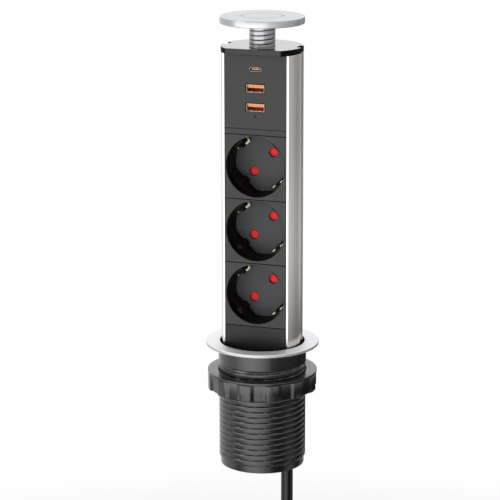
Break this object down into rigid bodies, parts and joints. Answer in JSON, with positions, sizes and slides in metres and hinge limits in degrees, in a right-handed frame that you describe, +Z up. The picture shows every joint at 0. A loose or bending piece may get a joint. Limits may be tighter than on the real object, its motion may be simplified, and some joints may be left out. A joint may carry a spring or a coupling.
{
  "type": "pop-up worktop socket tower",
  "caption": "Round pull-up worktop power tower with earthed sockets, USB charging ports, sprung lid, flange, threaded sleeve with clamp nut and mains cord.",
  "frame": {"origin": "centre of the worktop cut-out, in the plane of the worktop's upper face", "axes": "+Z up along the mast, -Y the way the sockets face, +X to the right of the sockets seen from the front"},
  "size_m": [0.1803, 0.1585, 0.5581],
  "materials": {
    "satin_aluminium": "satin anodised",
    "gloss_black": "glossy moulded",
    "matte_black": "fine moulded texture",
    "satin_black": "satin moulded",
    "inner_plastic": "moulded",
    "red_plastic": "moulded",
    "brass": "stamped",
    "nickel": "nickel plated",
    "orange_plastic": "moulded",
    "dark_tongue": "moulded",
    "steel": "plain",
    "lens": "clear moulded",
    "circuit_board": "lacquered",
    "foam": "closed cell foam",
    "cord_black": "satin sheath",
    "tie_strap": "woven strap"
  },
  "bodies": {
    "worktop_sleeve": {"threaded_sleeve": "satin_black", "flange_ring": "satin_aluminium", "flange_gasket": "foam", "guide_ring": "satin_black", "cord_bend": "cord_black", "cord_coil": "cord_black", "cord_tie": "tie_strap", "plug_body": "cord_black", "plug_pins": "nickel", "plug_earths": "brass"},
    "clamp_washer": {"clamp_washer": "satin_black"},
    "clamp_nut": {"clamp_nut": "satin_black"},
    "mast": {"mast_profile": "satin_aluminium", "top_end_cap": "gloss_black", "bottom_end_cap": "matte_black", "end_screws": "steel", "stop_blocks": "satin_black", "usb_face": "matte_black", "usb_a_shell_1": "nickel", "usb_a_shell_2": "nickel", "usb_a_tongue_1": "orange_plastic", "usb_a_tongue_2": "orange_plastic", "usb_c_shell": "nickel", "usb_c_tongue": "dark_tongue", "led_lens": "lens", "usb_board": "circuit_board", "usb_converter": "inner_plastic", "spacer_strip": "matte_black", "socket_face_1": "matte_black", "socket_face_2": "matte_black", "socket_face_3": "matte_black", "contact_carrier_1": "inner_plastic", "contact_carrier_2": "inner_plastic", "contact_carrier_3": "inner_plastic", "pin_contacts_1": "brass", "pin_contacts_2": "brass", "pin_contacts_3": "brass", "earth_clips_1": "brass", "earth_clips_2": "brass", "earth_clips_3": "brass", "live_busbar": "brass", "neutral_busbar": "brass", "earth_busbar": "brass", "blank_panel": "matte_black", "post_bush": "satin_black", "cord_gland": "cord_black", "cord_clamp": "inner_plastic", "cord_entry": "cord_black", "cord_drop": "cord_black"},
    "shutter_1": {"shutter_1": "red_plastic"},
    "shutter_2": {"shutter_2": "red_plastic"},
    "shutter_3": {"shutter_3": "red_plastic"},
    "post": {"cap_post": "steel", "post_clip": "steel", "cap_spring": "steel", "cap_screw": "steel"},
    "lid": {"cap_disc": "satin_aluminium"},
    "grip": {"grip_disc": "satin_aluminium", "grip_pins": "steel"}
  },
  "joints": [
    {"name": "lift", "type": "slide", "parent": "worktop_sleeve", "child": "mast", "axis": [0, 0, 1], "range_m": [-0.2194, 0], "deforming": ["cord_drop"]},
    {"name": "cap_press", "type": "slide", "parent": "mast", "child": "post", "axis": [0, 0, 1], "range_m": [-0.004, 0], "stiffness_N_per_m": 1500, "springref_m": 0.004, "deforming": ["cap_spring"]},
    {"name": "cap_turn", "type": "hinge", "parent": "post", "child": "lid", "pos_m": [0, 0, 0.2174], "axis": [0, 0, 1], "continuous": true},
    {"name": "grip_tilt", "type": "hinge", "parent": "lid", "child": "grip", "pos_m": [0, 0, 0.2205], "axis": [0.948, 0.3183, 0], "range_deg": [-6.5, 6.5]},
    {"name": "shutter_1_turn", "type": "hinge", "parent": "mast", "child": "shutter_1", "pos_m": [0, 0.00615, 0.12354], "axis": [0, 1, 0], "range_deg": [0, 40], "stiffness_Nm_per_rad": 0.002, "springref_deg": -5.73},
    {"name": "shutter_2_turn", "type": "hinge", "parent": "mast", "child": "shutter_2", "pos_m": [0, 0.00615, 0.08022], "axis": [0, 1, 0], "range_deg": [0, 40], "stiffness_Nm_per_rad": 0.002, "springref_deg": -5.73},
    {"name": "shutter_3_turn", "type": "hinge", "parent": "mast", "child": "shutter_3", "pos_m": [0, 0.00615, 0.0369], "axis": [0, 1, 0], "range_deg": [0, 40], "stiffness_Nm_per_rad": 0.002, "springref_deg": -5.73},
    {"name": "nut_climb", "type": "slide", "parent": "worktop_sleeve", "child": "clamp_washer", "axis": [0, 0, 1], "range_m": [-0.0315, 0.0054]},
    {"name": "nut_turn", "type": "hinge", "parent": "clamp_washer", "child": "clamp_nut", "pos_m": [0, 0, -0.025], "axis": [0, 0, 1], "range_deg": [-3000, 520]}
  ],
  "couplings": [
    {"joint": "nut_turn", "follows": "nut_climb", "rad_per_m": 1657.8}
  ]
}
